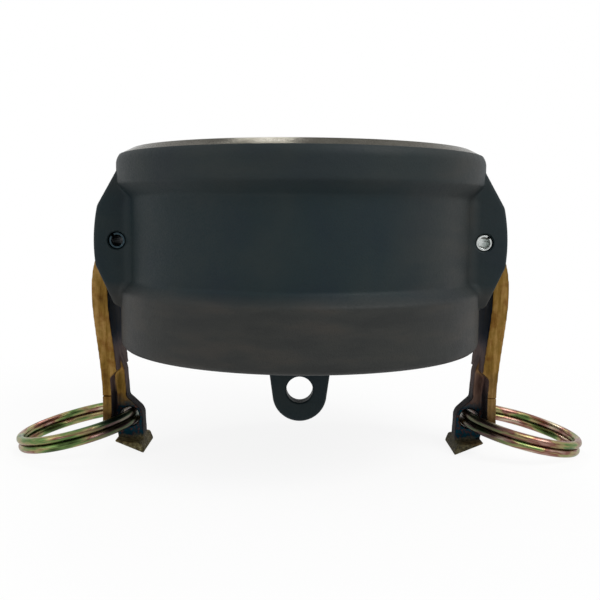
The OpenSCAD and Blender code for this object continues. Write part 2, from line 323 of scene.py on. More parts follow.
def makeCamera():
    data = bpy.data.cameras.new("camera")
    data.lens = view["lens"]
    data.shift_x = view["shift"]
    data.clip_start = 0.01
    camera = bpy.data.objects.new("camera", data)
    bpy.context.scene.collection.objects.link(camera)
    place = Matrix.Translation([v * mm for v in view["place"]])
    tilt = Matrix.Rotation(math.pi / 2 - view["down"], 4, "X")
    camera.matrix_world = place @ tilt @ Matrix.Rotation(view["roll"], 4, "Z")
    bpy.context.scene.camera = camera


def makeLights():
    for name, (place, size, watts) in lights.items():
        data = bpy.data.lights.new(name, "AREA")
        data.size = size * mm
        data.energy = watts
        lamp = bpy.data.objects.new(name, data)
        bpy.context.scene.collection.objects.link(lamp)
        where = Matrix.Translation([v * mm for v in place])
        aim = -where.translation - Matrix.Translation((0, 0, 0.05)).translation
        lamp.matrix_world = where @ aim.to_track_quat("-Z", "Y").to_matrix().to_4x4()


# 1 for what the camera, a mirror or a glass sees, and 0 for the light on the object.
def seenRays(tree):
    path = addNode(tree, "LightPath").outputs
    seen = maths(tree, "MAXIMUM", path["Is Camera Ray"], path["Is Glossy Ray"])
    return maths(tree, "MAXIMUM", seen, path["Is Transmission Ray"])


def makeWorld():
    world = bpy.data.worlds.new("studio")
    bpy.context.scene.world = world
    world.use_nodes = True
    tree = world.node_tree
    tree.nodes.clear()
    path = addNode(tree, "LightPath").outputs
    direction = addNode(tree, "TexCoord").outputs["Generated"]
    facing = addNode(tree, "VectorMath", {0: direction, 1: (0, 0.85, 0.5)}, operation="DOT_PRODUCT")
    reflected = mapped(tree, facing.outputs["Value"], -0.7, 0.35, 0.3, 1.0)
    direct = maths(tree, "MAXIMUM", path["Is Camera Ray"], path["Is Transmission Ray"])
    glossy = maths(tree, "MULTIPLY", path["Is Glossy Ray"], reflected)
    seen = maths(tree, "MAXIMUM", direct, glossy)
    strength = maths(tree, "MAXIMUM", seen, ambient)
    background = addNode(tree, "Background", {"Color": (1, 1, 1, 1), "Strength": strength})
    addNode(tree, "OutputWorld", {"Surface": background.outputs[0]})


def makeFloor():
    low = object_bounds()[0][2]
    size = 3000
    z = low / mm - 0.05
    points = [(-size, -size, z), (size, -size, z), (size, size, z), (-size, size, z)]
    material = bpy.data.materials.new("paleFloor")
    material.use_nodes = True
    tree = material.node_tree
    tree.nodes.clear()
    matt = addNode(tree, "BsdfDiffuse", {"Color": toLinear("#fafaf9")})
    plain = addNode(tree, "Emission", {"Color": (1, 1, 1, 1), "Strength": 1.0})
    # near the object the seen floor keeps a share of its own shading, and with it the shadow
    away = addNode(tree, "VectorMath", {0: addNode(tree, "TexCoord").outputs["Object"]}, operation="LENGTH")
    plainShare = mapped(tree, away.outputs["Value"], 0.1, 0.28, 0.87, 1.0)
    share = maths(tree, "MULTIPLY", seenRays(tree), plainShare)
    both = addNode(tree, "MixShader", {0: share, 1: matt.outputs[0], 2: plain.outputs[0]})
    addNode(tree, "OutputMaterial", {"Surface": both.outputs[0]})
    floor = makeObject(makeMesh("floor", points, [[0, 1, 2, 3]], [material]))


makeCamera()
makeLights()
makeWorld()
makeFloor()
bpy.context.scene.view_settings.view_transform = "Standard"
print("camera, light and floor")


def castCoat():
    # Sand-cast aluminium under a dark grey hard coat: matt, with a fine sandy grain and cloudy patches,
    # bluer on the waist, with a lighter brown painted as light: bounce from the floor on the base by the
    # closed end, the key light towards the right side, and a little on the band.
    material, tree, shader, coords = newMaterial("hardCoatedCastAluminium")
    place = coords.outputs["Object"]
    sand = noise(tree, place, 0.55, detail=3, rough=0.6)
    lumps = noise(tree, place, 3.5, detail=3)
    clouds = noise(tree, place, 22, detail=3)
    streaks = noise(tree, place, 6, detail=3, stretch=(4, 4, 1))
    split = addNode(tree, "SeparateXYZ", {0: place}).outputs
    height = split["Z"]
    # painted light: the base by the closed end lighter and browner, as if lit by bounce from the floor, and
    # the band a little browner
    paintedLightAndBand = maths(tree, "MAXIMUM", mapped(tree, height, -0.047, -0.052, 0.0, 0.75),
                 mapped(tree, height, -0.018, -0.012, 0.0, 0.2))
    # painted light: lighter and browner towards the right side, where the key light falls, less so at the
    # outermost right
    paintedLightRight = maths(tree, "MULTIPLY", mapped(tree, split["X"], 0.025, 0.05, 0.0, 0.45),
                      mapped(tree, split["X"], 0.06, 0.064, 1.0, 0.2))
    paintedLightAndBand = maths(tree, "MAXIMUM", paintedLightAndBand, paintedLightRight)
    paintedLightAndBand = maths(tree, "MULTIPLY", paintedLightAndBand, mapped(tree, height, -0.0735, -0.0715, 0.0, 1.0))
    blue = ramp(tree, clouds, [(0.35, "#04181f"), (0.5, "#091c20"), (0.66, "#132022")])
    brown = ramp(tree, streaks, [(0.35, "#262523"), (0.5, "#2d2c29"), (0.66, "#36322d")])
    colour = mixed(tree, paintedLightAndBand, blue, brown)
    speckle = ramp(tree, sand, [(0.3, "#c8c8c8"), (0.5, "#ffffff"), (0.72, "#ffffff")])
    colour = mixed(tree, 0.55, colour, speckle, "MULTIPLY")
    tree.links.new(colour, shader.inputs["Base Color"])
    tree.links.new(mapped(tree, sand, 0.3, 0.7, 0.52, 0.68), shader.inputs["Roughness"])
    shader.inputs["Specular IOR Level"].default_value = 0.26
    tree.links.new(bumps(tree, [(lumps, 0.12), (sand, 0.06)]), shader.inputs["Normal"])
    return material


def turnedAluminium():
    # Aluminium turned on a lathe, with fine rings 0.45 mm apart that stretch the highlights: dulled by
    # handling on the rim's face and brighter down in the bore.
    material, tree, shader, place = newMaterial("turnedAluminium")
    place = place.outputs["Object"]
    flat = addNode(tree, "VectorMath", {0: place, 1: (1, 1, 0)}, operation="MULTIPLY").outputs[0]
    radius = addNode(tree, "VectorMath", {0: flat}, operation="LENGTH").outputs["Value"]
    height = addNode(tree, "SeparateXYZ", {0: place}).outputs["Z"]
    along = maths(tree, "SUBTRACT", radius, height)
    rings = maths(tree, "SINE", maths(tree, "MULTIPLY", along, turn / (0.45 * mm)))
    marks = noise(tree, place, 1.2, stretch=(5, 5, 1))
    colour = ramp(tree, marks, [(0.3, "#565552"), (0.7, "#72716d")])
    inside = mapped(tree, height, -0.0024, -0.004, 0.0, 1.0)
    colour = mixed(tree, inside, colour, ramp(tree, marks, [(0.3, "#9c9c99"), (0.7, "#b9b8b4")]))
    tree.links.new(colour, shader.inputs["Base Color"])
    shader.inputs["Metallic"].default_value = 1.0
    # the edge tint keeps a dulled face from turning white where it is seen at a glance
    shader.inputs["Specular Tint"].default_value = toLinear("#b2b0ab")
    tree.links.new(mapped(tree, marks, 0.3, 0.7, 0.13, 0.2), shader.inputs["Roughness"])
    tree.links.new(bumps(tree, [(rings, 0.006), (marks, 0.01)]), shader.inputs["Normal"])
    return material


def yellowZinc():
    # Forged steel under yellow chromated zinc: golden and drawn in streaks, reddish where it faces the cup,
    # and rough and olive on the toe that drags on the floor. Shade is painted on: dark blue where it faces
    # the cup up by the body, near black there low down, and dark navy on the rib round the eye.
    material, tree, shader, coords = newMaterial("yellowChromatedZinc")
    place = coords.outputs["Object"]
    streaks = noise(tree, place, 2.2, detail=5, rough=0.6, stretch=(1, 1, 6))
    patches = noise(tree, place, 5, detail=4, rough=0.6)
    grain = noise(tree, place, 0.5, detail=2)
    spots = noise(tree, place, 1.3, detail=4, rough=0.7)
    split = addNode(tree, "SeparateXYZ", {0: place}).outputs
    height = maths(tree, "ADD", split["Z"], maths(tree, "MULTIPLY", patches, 0.006))
    gold = ramp(tree, streaks, [(0.3, "#5a421e"), (0.5, "#7d602d"), (0.68, "#9c7c49")])
    tint = ramp(tree, patches, [(0.35, "#a8683c"), (0.5, "#ffffff"), (0.68, "#a8a860")])
    colour = mixed(tree, 0.45, gold, tint, "MULTIPLY")
    # painted shade: dark navy mottled with brown on the recessed rib round the eye
    paintedEyeShade = ramp(tree, spots, [(0.36, "#06303c"), (0.5, "#0a2630"), (0.6, "#3a2422"), (0.72, "#5c463c")])
    # the normal's x times the place's x is above 0 on faces away from the cup and below 0 on faces to it
    side = addNode(tree, "SeparateXYZ", {0: coords.outputs["Normal"]}).outputs["X"]
    inward = maths(tree, "MULTIPLY", maths(tree, "MULTIPLY", side, split["X"]), -1 / 0.068)
    onRib = mapped(tree, maths(tree, "ABSOLUTE", split["Y"]), 0.0045, 0.006, 1.0, 0.25)
    onRib = maths(tree, "MULTIPLY", onRib, mapped(tree, inward, -0.6, -0.2, 0.15, 1.0))
    # share of the painted shade round the eye, on the rib
    eyeShadeShare = maths(tree, "MULTIPLY", mapped(tree, height, -0.088, -0.094, 0.0, 1.0), onRib)
    red = ramp(tree, streaks, [(0.3, "#3a2a2a"), (0.55, "#5e4b47"), (0.7, "#776661")])
    right = mapped(tree, split["X"], 0.0, 0.01, 0.0, 1.0)
    redRib = maths(tree, "MULTIPLY", right, mapped(tree, height, -0.077, -0.081, 0.0, 0.85))
    colour = mixed(tree, maths(tree, "MULTIPLY", redRib, onRib), colour, red)
    colour = mixed(tree, eyeShadeShare, colour, paintedEyeShade)
    # faces partly turned to the cup, low down, also take the painted shade
    low = maths(tree, "MULTIPLY", mapped(tree, inward, 0.25, 0.5, 0.0, 1.0),
                mapped(tree, height, -0.083, -0.088, 0.0, 1.0))
    inward = maths(tree, "MAXIMUM", mapped(tree, inward, 0.72, 0.95, 0.0, 1.0), low)
    # painted shade and reflection of the dark body: dark blue on the faces to the cup above the step
    blue = ramp(tree, streaks, [(0.3, "#04182c"), (0.7, "#0e2b45")])
    facing = mixed(tree, mapped(tree, height, -0.071, -0.065, 0.0, 1.0), red, blue)
    # painted shade: near black on the faces to the cup low down
    paintedDeepShade = ramp(tree, spots, [(0.4, "#04141c"), (0.6, "#1c1213")])
    facing = mixed(tree, mapped(tree, height, -0.083, -0.088, 0.0, 0.9), facing, paintedDeepShade)
    colour = mixed(tree, inward, colour, facing)
    rough = ramp(tree, spots, [(0.34, "#2a2a20"), (0.46, "#5f553a"), (0.58, "#7d7552"), (0.7, "#a39a7c")])
    rough = mixed(tree, maths(tree, "MULTIPLY", right, 0.65), rough, toLinear("#25241f"))
    toe = mapped(tree, height, -0.1045, -0.1065, 0.0, 1.0)
    tree.links.new(mixed(tree, toe, colour, rough), shader.inputs["Base Color"])
    dull = maths(tree, "MAXIMUM", toe, inward)
    tree.links.new(mapped(tree, dull, 0.0, 1.0, 1.0, 0.12), shader.inputs["Metallic"])
    gloss = mapped(tree, streaks, 0.3, 0.7, 0.36, 0.5)
    gloss = maths(tree, "ADD", gloss, maths(tree, "MULTIPLY", dull, 0.3))
    tree.links.new(gloss, shader.inputs["Roughness"])
    shader.inputs["Specular IOR Level"].default_value = 0.1
    pits = maths(tree, "MULTIPLY", spots, toe)
    normal = bumps(tree, [(patches, 0.12), (streaks, 0.05), (grain, 0.02), (pits, 0.3)])
    tree.links.new(normal, shader.inputs["Normal"])
    return material


def rainbowWire():
    # Drawn steel wire under thin chromated zinc, whose colour runs from green through gold to pink, more
    # golden at the right, with painted shade darkening it where it passes through the eye.
    material, tree, shader, coords = newMaterial("rainbowChromatedWire")
    place = coords.outputs["UV"]
    bands = noise(tree, place, 4.2, detail=3, stretch=(4, 1, 1))
    drawn = noise(tree, place, 0.35, detail=2, stretch=(20, 1, 1))
    across = addNode(tree, "SeparateXYZ", {0: coords.outputs["Object"]}).outputs["X"]
    bands = maths(tree, "ADD", bands, mapped(tree, across, -0.01, 0.01, 0.0, 0.04))
    colours = [(0.36, "#3c4a2a"), (0.43, "#627c48"), (0.5, "#988c62"), (0.55, "#784d42"), (0.61, "#9c7c70"),
               (0.68, "#beb498")]
    # painted shade: the wire darkened where it lies in and near the eye
    wireShadeInEye = mapped(tree, maths(tree, "ABSOLUTE", across), 0.07, 0.08, 0.7, 0.0)
    colour = mixed(tree, wireShadeInEye, ramp(tree, bands, colours), toLinear("#1d2c30"))
    tree.links.new(colour, shader.inputs["Base Color"])
    shader.inputs["Metallic"].default_value = 1.0
    tree.links.new(mapped(tree, drawn, 0.3, 0.7, 0.26, 0.4), shader.inputs["Roughness"])
    tree.links.new(bumps(tree, [(drawn, 0.01)]), shader.inputs["Normal"])
    return material


def springSteel(name, colour, roughness):
    # Rolled spring steel, blued and oiled: dark and half bright; the pale copy is a painted reflection.
    material, tree, shader, place = newMaterial(name)
    place = place.outputs["Object"]
    marks = noise(tree, place, 0.8, stretch=(1, 6, 1))
    tree.links.new(ramp(tree, marks, [(0.3, colour[0]), (0.7, colour[1])]), shader.inputs["Base Color"])
    shader.inputs["Metallic"].default_value = 1.0
    roughness = mapped(tree, marks, 0.3, 0.7, roughness - 0.06, roughness + 0.06)
    tree.links.new(roughness, shader.inputs["Roughness"])
    tree.links.new(bumps(tree, [(marks, 0.01)]), shader.inputs["Normal"])
    return material


def mouldedRubber():
    # Moulded nitrile rubber: black and matt, with a faint grey bloom.
    material, tree, shader, place = newMaterial("mouldedRubber")
    place = place.outputs["Object"]
    bloom = noise(tree, place, 6, detail=5)
    pores = noise(tree, place, 0.4, detail=2)
    tree.links.new(ramp(tree, bloom, [(0.35, "#1a1b1c"), (0.7, "#262727")]), shader.inputs["Base Color"])
    tree.links.new(mapped(tree, bloom, 0.3, 0.7, 0.62, 0.8), shader.inputs["Roughness"])
    shader.inputs["Specular IOR Level"].default_value = 0.35
    tree.links.new(bumps(tree, [(pores, 0.02)]), shader.inputs["Normal"])
    return material


castMaterial = castCoat()
turnedMaterial = turnedAluminium()
handleMaterial = yellowZinc()
wireMaterial = rainbowWire()
dullPinMaterial = springSteel("oiledSpringSteel", ("#22323a", "#445258"), 0.42)
# painted reflection: a pale, glossy copy of the same steel that makes the right pin bright
paintedBrightPinMaterial = springSteel("springSteelPaintedBright", ("#b4bab8", "#e2e5e3"), 0.14)
rubberMaterial = mouldedRubber()
print("finishes")


cup = dict(
    bore=60.45, relief=61.05, rim=68, waist=63.5, base=67, height=72,
    bandEnd=12.5, slopeEnd=17.2, waistEnd=47, baseStart=51,
    shoulder=5.6, faceHeight=2.2, floor=-64.35, groove=62.1, grooveTop=-57.5,
    landEnd=-21.5, lowLand=-45.88,
    bandEdge=1.6, bandFoot=2.6, baseEdge=2.2, endEdge=3,
)
ear = dict(
    half=20, gap=13, edge=1.0, fillet=3.2, pinX=65.4, pinZ=-32.6, reach=8.4, curve=62,
    top=-7, topIn=0.6, topSlope=0.573, end=-55, endOut=1.6, lowSlope=0.461, ledge=1.3,
)
lug = dict(half=3.5, width=12.7, radius=10.4, tip=-102.3, root=4, edge=1.3, holeZ=-89.9, hole=5.1)
slot = dict(top=-22.5, end=-44.88, corner=1.6)


# Section of the cup from the middle of its closed end, out, up, over the rim and down inside. The
# number says what made that stretch: 0 cast and 1 turned.
def cupSection():
    c = cup
    middle, low = c["rim"] - c["shoulder"], -c["shoulder"]
    drop = c["shoulder"] - c["faceHeight"]
    faceOut = math.sqrt(c["shoulder"] ** 2 - drop ** 2)
    outer = roundCorners([
        (0, -c["height"], 0), (c["base"], -c["height"], c["endEdge"]),
        (c["base"], -c["baseStart"], c["baseEdge"]),
        (c["waist"], -c["waistEnd"], c["baseEdge"]), (c["waist"], -c["slopeEnd"], c["bandFoot"]),
        (c["rim"], -c["bandEnd"], c["bandEdge"]), (c["rim"], low, 0)])
    angle = np.linspace(0, math.asin(drop / c["shoulder"]), 9)[1:]
    shoulder = np.stack([middle + c["shoulder"] * np.cos(angle), low + c["shoulder"] * np.sin(angle)], -1)
    face = [(middle + faceOut - 0.12, -c["faceHeight"] + 0.02), (middle + 0.1, -0.06), (middle - 0.1, 0)]
    inner = [(c["bore"] + 0.8, 0), (c["bore"], -0.8), (c["bore"], c["landEnd"] + 0.6),
             (c["relief"], c["landEnd"]), (c["relief"], c["lowLand"]), (c["bore"], c["lowLand"] - 0.6),
             (c["bore"], c["grooveTop"] + c["groove"] - c["bore"]), (c["groove"], c["grooveTop"]),
             (c["groove"], c["floor"]), (0, c["floor"])]
    made = [0] * (len(outer) + len(shoulder)) + [1] * (len(face) + 3) + [0, 0] + [1] * 4 + [0]
    return np.concatenate([outer, shoulder, face, inner]), np.array(made)


# The same line with points at most one step apart along the outside of the wall.
def thicker(section, made, step=0.8):
    points, marks = [], []
    for k in range(len(section) - 1):
        a, b = section[k], section[k + 1]
        outside = min(a[0], b[0]) > cup["relief"] + 1 and max(a[1], b[1]) < -cup["shoulder"] + 0.1
        count = max(1, int(math.ceil(abs(b[1] - a[1]) / step))) if outside else 1
        share = np.arange(count)[:, None] / count
        points.append(a + (b - a) * share)
        marks += [made[k]] * count
    return np.concatenate(points + [section[-1:]]), np.array(marks + [made[-1]])


# How far the ears reach out at height z: a slope, a round nose and a slope, with soft joins.
def earReach(z):
    e = ear
    nose = e["pinX"] + e["reach"] - e["curve"]
    circle = nose + np.sqrt(e["curve"] ** 2 - (z - e["pinZ"] + 0.9) ** 2)
    upper = e["pinX"] - e["topIn"] + (e["top"] - z) * e["topSlope"]
    lower = e["pinX"] + e["endOut"] + (z - e["end"]) * e["lowSlope"]
    reach = np.minimum(circle, np.minimum(upper, lower))
    drop = np.clip((e["end"] - z) / e["ledge"], 0, 1)
    reach = np.where(drop > 0, lower - (lower - 64.2) * (1 - np.sqrt(1 - drop ** 2)), reach)
    return np.where((z > e["top"]) | (drop >= 1), 40, reach)


# Distance outside the round wall joined to the block of the ears, with a fillet in the corner.
def wallDistance(x, y, radius, reach, fillet):
    e = ear
    circle = np.hypot(x, y) - radius
    qx, qy = np.abs(x) - (reach - e["edge"]), np.abs(y) - (e["half"] - e["edge"])
    block = np.hypot(np.maximum(qx, 0), np.maximum(qy, 0)) + np.minimum(np.maximum(qx, qy), 0) - e["edge"]
    corner = np.hypot(np.maximum(fillet - circle, 0), np.maximum(fillet - block, 0))
    return np.maximum(fillet, np.minimum(circle, block)) - corner


# Grid of the whole cup: each row is a point of the section, each column a direction. Where the ears
# stand, the radius is where a ray from outside meets the wall, found by stepping inwards by the
# distance.
def bodyWall():
    section, made = thicker(*cupSection())
    near = np.arange(13.6, 22.6, 0.2)
    far = np.concatenate([np.arange(0, 13.6, 1.7), np.arange(24, 90, 2.0)])
    quarter = np.unique(np.concatenate([near, far]))
    degrees = [quarter, 180 - quarter, 180 + quarter, 360 - quarter[quarter > 0], [90, 270]]
    degrees = np.unique(np.concatenate(degrees))
    angle = np.radians(degrees)
    radius = np.repeat(section[:, :1], len(angle), 1)
    outside = (section[:, 1] < -cup["shoulder"]) & (section[:, 0] > cup["groove"] + 0.5)
    outer = np.nonzero(outside & (section[:, 1] > -70))[0]
    z = section[outer, 1][:, None]
    wall = section[outer, 0][:, None]
    blend = np.clip(np.minimum((-12.6 - z) / 7, (z + 54.5) / 6), 0.06, 1)
    fillet = ear["fillet"] * blend
    reach = earReach(z)
    ray = np.full((len(outer), len(angle)), 82.0)
    for _ in range(70):
        gap = wallDistance(ray * np.cos(angle), ray * np.sin(angle), wall, reach, fillet)
        ray -= gap * 0.9
    radius[outer] = np.maximum(ray, wall)
    height = np.repeat(section[:, 1:], len(angle), 1)
    points = np.stack([radius * np.cos(angle), radius * np.sin(angle), height], -1)
    faces = gridFaces(len(section), len(angle))
    marks = np.repeat(np.maximum(made[:-1] * made[1:], 0), len(angle))
    return points.reshape(-1, 3), faces.tolist(), marks


# Radius of the round wall at height z.
def wallAt(z):
    section, _ = cupSection()
    out = section[(section[:, 0] > cup["groove"]) & (section[:, 1] < -5)]
    order = np.argsort(out[:, 1])
    return np.interp(z, out[order, 1], out[order, 0])


# Space between the two ears of a pair, down to the round wall: a loop in x and y at each height.
def earGap():
    z = np.linspace(-12.9, -57.5, 62)
    y = np.linspace(-ear["gap"], ear["gap"], 17)
    inner = np.sqrt(wallAt(z)[:, None] ** 2 - y[None] ** 2) - 0.02
    loop = np.stack([inner, np.repeat(y[None], len(z), 0), np.repeat(z[:, None], len(y), 1)], -1)
    ends = np.array([[[84, ear["gap"], 0], [84, -ear["gap"], 0]]]) + np.zeros((len(z), 1, 1))
    ends[:, :, 2] = z[:, None]
    rows = np.concatenate([loop, ends], 1)
    count = rows.shape[1]
    last = (len(z) - 1) * count
    faces = gridFaces(len(z), count).tolist() + [list(range(count)), list(range(last, last + count))]
    return rows.reshape(-1, 3), faces


# Slot through the wall for the cam, with round corners in y and z.
def camSlot():
    g, s = ear["gap"] - 0.01, slot
    outline = roundCorners([(-g, s["end"], s["corner"]), (g, s["end"], s["corner"]),
                            (g, s["top"], s["corner"]), (-g, s["top"], s["corner"])])
    count = len(outline)
    rows = [np.insert(outline, 0, x, axis=1) for x in (50, 66.5)]
    faces = gridFaces(2, count).tolist() + [list(range(count)), list(range(count, 2 * count))]
    return np.concatenate(rows), faces


# Tab with straight sides that touch the round tip, and a fillet at the closed end.
def lugOutline():
    l = lug
    tipZ = l["tip"] + l["radius"]
    rootZ = -cup["height"] - l["root"]
    away = np.array([l["width"], rootZ - tipZ])
    distance = np.linalg.norm(away)
    first = math.atan2(away[1], away[0]) - math.acos(l["radius"] / distance)
    arc = np.linspace(first, -math.pi - first, 40)
    tip = np.stack([l["radius"] * np.cos(arc), tipZ + l["radius"] * np.sin(arc)], -1)
    bend = np.linspace(math.pi, math.pi / 2, 8)
    fillet = [l["width"] + l["root"] + l["root"] * np.cos(bend), rootZ + l["root"] * np.sin(bend)]
    fillet = np.stack(fillet, -1)
    right = np.concatenate([[[l["width"] + l["root"] + 0.3, -cup["height"] + 1.8]], fillet[::-1]])
    return np.concatenate([right, tip, right[::-1] * [-1, 1]])


# Round cutter along y with a bevel where it leaves each face.
def boredHole(centre, radius, half, bevel):
    far = half + 3
    section = np.array([(0, -far), (radius + bevel + 3, -far), (radius + bevel + 3, -half - 3 + 0.01),
                        (radius + bevel, -half), (radius, -half + bevel), (radius, half - bevel),
                        (radius + bevel, half), (radius + bevel + 3, half + 3 - 0.01),
                        (radius + bevel + 3, far), (0, far)], float)
    return spun(section, centre, around="y", columns=64)


def makeBody():
    materials = [castMaterial, turnedMaterial]
    points, faces, marks = bodyWall()
    body = makeObject(facingOut(makeMesh("castBody", points, faces, materials, marks)))
    print("body wall", len(body.data.polygons))
    carve(body, roundedSlab(lugOutline(), lug["half"], lug["edge"]), "UNION", materials)
    gap = earGap()
    carve(body, joined([gap, mirrored(gap)]), "DIFFERENCE", materials)
    through = camSlot()
    carve(body, joined([through, mirrored(through)]), "DIFFERENCE", materials)
    holes = [boredHole((side * ear["pinX"], 0, ear["pinZ"]), 3.2, ear["half"], 0.35) for side in (-1, 1)]
    holes.append(boredHole((0, 0, lug["holeZ"]), lug["hole"], lug["half"], 0.5))
    carve(body, joined(holes), "DIFFERENCE", materials)
    finish(body, "shell", "cap_body", 32)


makeBody()


seal = dict(inner=50.8, outer=61.9, low=-64.35, high=-58.0, edge=0.6)


# Flat ring with rounded edges, spun from its section.
def makeGasket():
    s = seal
    section = roundCorners([(s["inner"], s["low"], 0.2), (s["outer"], s["low"], 0.2),
                            (s["outer"], s["high"], s["edge"]), (s["inner"], s["high"], s["edge"])])
    points, faces = spun(section, columns=180, closed=True)
    finish(makeObject(facingOut(makeMesh("gasketRing", points, faces, [rubberMaterial]))),
           "shell", "gasket")


makeGasket()


pin = dict(radius=3.175, wall=1.1, half=19.4, bevel=0.45, slit=1.2, slitAt=50)


# Rolled sleeve: the section of its wall carried round the axis from one lip of the slit to the other.
def makePin(name, side, material):
    p = pin
    inside = p["radius"] - p["wall"]
    section = roundCorners([
        (inside, -p["half"], 0.15), (p["radius"] - p["bevel"], -p["half"], 0.12),
        (p["radius"], p["bevel"] - p["half"], 0.2), (p["radius"], p["half"] - p["bevel"], 0.2),
        (p["radius"] - p["bevel"], p["half"], 0.12), (inside, p["half"], 0.15)], 4)
    lip = math.asin(p["slit"] / 2 / (inside + p["wall"] / 2))
    angle = math.radians(p["slitAt"]) + np.linspace(lip, turn - lip, 61)
    radius, height = section[:, 0][None], section[:, 1][None] + 0 * angle[:, None]
    x = side * (ear["pinX"] + radius * np.cos(angle)[:, None])
    z = ear["pinZ"] + radius * np.sin(angle)[:, None]
    rows = np.stack([x, height, z], -1)
    count = len(section)
    last = (len(angle) - 1) * count
    faces = gridFaces(len(angle), count).tolist() + [list(range(count)), list(range(last, last + count))]
    sleeve = makeObject(facingOut(makeMesh(name, rows.reshape(-1, 3), faces, [material])))
    word = "right" if side > 0 else "left"
    finish(sleeve, "shell", "handle_pin_" + word)


makePin("springPinLeft", -1, dullPinMaterial)
makePin("springPinRight", 1, paintedBrightPinMaterial)


handle = dict(
    head=9.3, headHalf=12.3, noseRadius=7.2, noseReach=5.4, flat=4.6, open=100,
    shoulder=(9.6, -5.4), bow=(14.5, -21.4), tail=(4.9, -43.4), flangeOut=7.2, flangeEnd=-102.4,
    plate=6, flange=3.4, gripHalf=10.5, ribHalf=3.7, stepZ=-81.3, stepHigh=2.7, stepAt=0.735,
    eyeX=65.3, eyeZ=-100.6, eye=5, eyeHole=3.65, toeZ=-113.4, toeHalf=10,
    creaseZ=-91.2, crease=0.35, voxel=0.36, smoothing=7,
)


def handleGuide():
    h, x, z = handle, ear["pinX"], ear["pinZ"]
    return np.array([(x + h["shoulder"][0], z + h["shoulder"][1]),
                     (cup["base"] + h["bow"][0], z + h["bow"][1]),
                     (cup["base"] + h["tail"][0], z + h["tail"][1]),
                     (cup["base"] + h["flangeOut"], h["flangeEnd"])])


# Cubic curve of the handle's outer face at t from 0 to 1, moved in by inset.
def outerCurve(t, inset=0.0):
    p, t = handleGuide(), np.atleast_1d(np.asarray(t, float))[:, None]
    place = (1 - t) ** 3 * p[0] + 3 * t * (1 - t) ** 2 * p[1] + 3 * t * t * (1 - t) * p[2] + t ** 3 * p[3]
    slope = 3 * (1 - t) ** 2 * (p[1] - p[0]) + 6 * t * (1 - t) * (p[2] - p[1]) + 3 * t * t * (p[3] - p[2])
    slope /= np.linalg.norm(slope, axis=1)[:, None]
    return place + inset * np.stack([slope[:, 1], -slope[:, 0]], -1)


def circleLine(x, z, radius, count=72):
    angle = np.arange(count) / count * turn
    return np.stack([x + radius * np.cos(angle), z + radius * np.sin(angle)], -1)


# Strip between the outer curve and the same curve one thickness further in.
def band(thick, first, last, count=24):
    t = np.linspace(first, last, count)
    return np.concatenate([outerCurve(t), outerCurve(t[::-1], thick)])


# The handle as overlapping slabs: head, nose, neck, plate, flange, step, rib, eye and toe.
def handleForms():
    h = handle
    x, z, ex, ez = ear["pinX"], ear["pinZ"], h["eyeX"], h["eyeZ"]
    flangeIn = cup["base"] + h["flangeOut"] - h["flange"]
    noseX = x + h["noseRadius"] - (x - cup["bore"] + h["noseReach"])
    neck = np.concatenate([[(x - 1, z - h["head"] + 1.5), (x, z), (x + h["head"], z)],
                           outerCurve([0, 0.06, 0.12, 0.2, 0.3]), outerCurve([0.3, 0.2], h["plate"])])
    s = h["stepAt"]
    step = np.concatenate([outerCurve([0.66, s, 0.79]), outerCurve(0.79, h["flange"] - 0.5),
                           [(flangeIn + 0.3, h["stepZ"] - h["stepHigh"] - 0.5),
                            (flangeIn - 2.5, h["stepZ"])],
                           outerCurve([s, 0.66], h["plate"])])
    bend = math.radians(140)
    rib = np.array([(flangeIn + 1, h["stepZ"] + 6), (flangeIn - 1.2, h["stepZ"] + 7),
                    (flangeIn - 3.8, h["stepZ"] - 0.9), (ex + 0.9, ez + 7.6),
                    (ex + h["eye"] * math.cos(bend), ez + h["eye"] * math.sin(bend)), (ex, ez),
                    (ex - h["eye"], ez), (ex - h["eye"] - 0.4, h["toeZ"] + 2.8),
                    (ex + 4.4, h["toeZ"] + 4.7), (flangeIn, h["flangeEnd"]), (flangeIn + 1, h["flangeEnd"])])
    toe = np.array([(ex - 6.6, h["toeZ"]), (ex + 4.5, h["toeZ"] + 4.6), (ex + 4.4, h["toeZ"] + 5.2),
                    (ex - 5.4, h["toeZ"] + 3.9), (ex - 6.6, h["toeZ"] + 0.9)])
    head, grip, thin, foot = h["headHalf"], h["gripHalf"], h["ribHalf"], h["toeHalf"]
    flat = [(circleLine(x, z, h["head"]), head), (circleLine(noseX, z - 1.2, h["noseRadius"]), head),
            (neck, grip), (band(h["plate"], 0.2, s), grip), (band(h["flange"], 0.6, 1), grip), (step, grip),
            (rib, thin), (circleLine(ex, ez, h["eye"]), thin), (toe, foot)]
    return [prism(outline, -half, half) for outline, half in flat]


# Cutter that leaves the flat on the cam, square to the handle's opening direction.
def camFlat():
    h = handle
    angle = math.radians(180 - h["open"])
    corner = np.array([(h["flat"], -20), (24, -20), (24, 20), (h["flat"], 20)])
    c, s = math.cos(angle), math.sin(angle)
    outline = corner @ np.array([[c, s], [-s, c]]) + [ear["pinX"], ear["pinZ"]]
    return prism(outline, -14, 14)


# Cutter for the shallow crease that runs round the flange: a wedge carried along its two edges and its
# outer face.
def flangeCrease():
    h = handle
    curve = outerCurve(np.linspace(0.7, 1, 60))
    outer = np.interp(-h["creaseZ"], -curve[:, 1], curve[:, 0])
    path = np.array([(outer - 4.5, -1), (outer, -1), (outer, 1), (outer - 4.5, 1)])
    rows = []
    for x, side in path:
        inside = (x - (h["crease"] if x == outer else 0), side * (h["gripHalf"] - h["crease"]), h["creaseZ"])
        away = (x + (1 if x == outer else 0), side * (h["gripHalf"] + 1))
        rows.append([inside, (*away, h["creaseZ"] + 1.1), (*away, h["creaseZ"] - 1.1)])
    points = np.array(rows).reshape(-1, 3)
    return points, gridFaces(4, 3).tolist() + [[0, 1, 2], [11, 10, 9]]


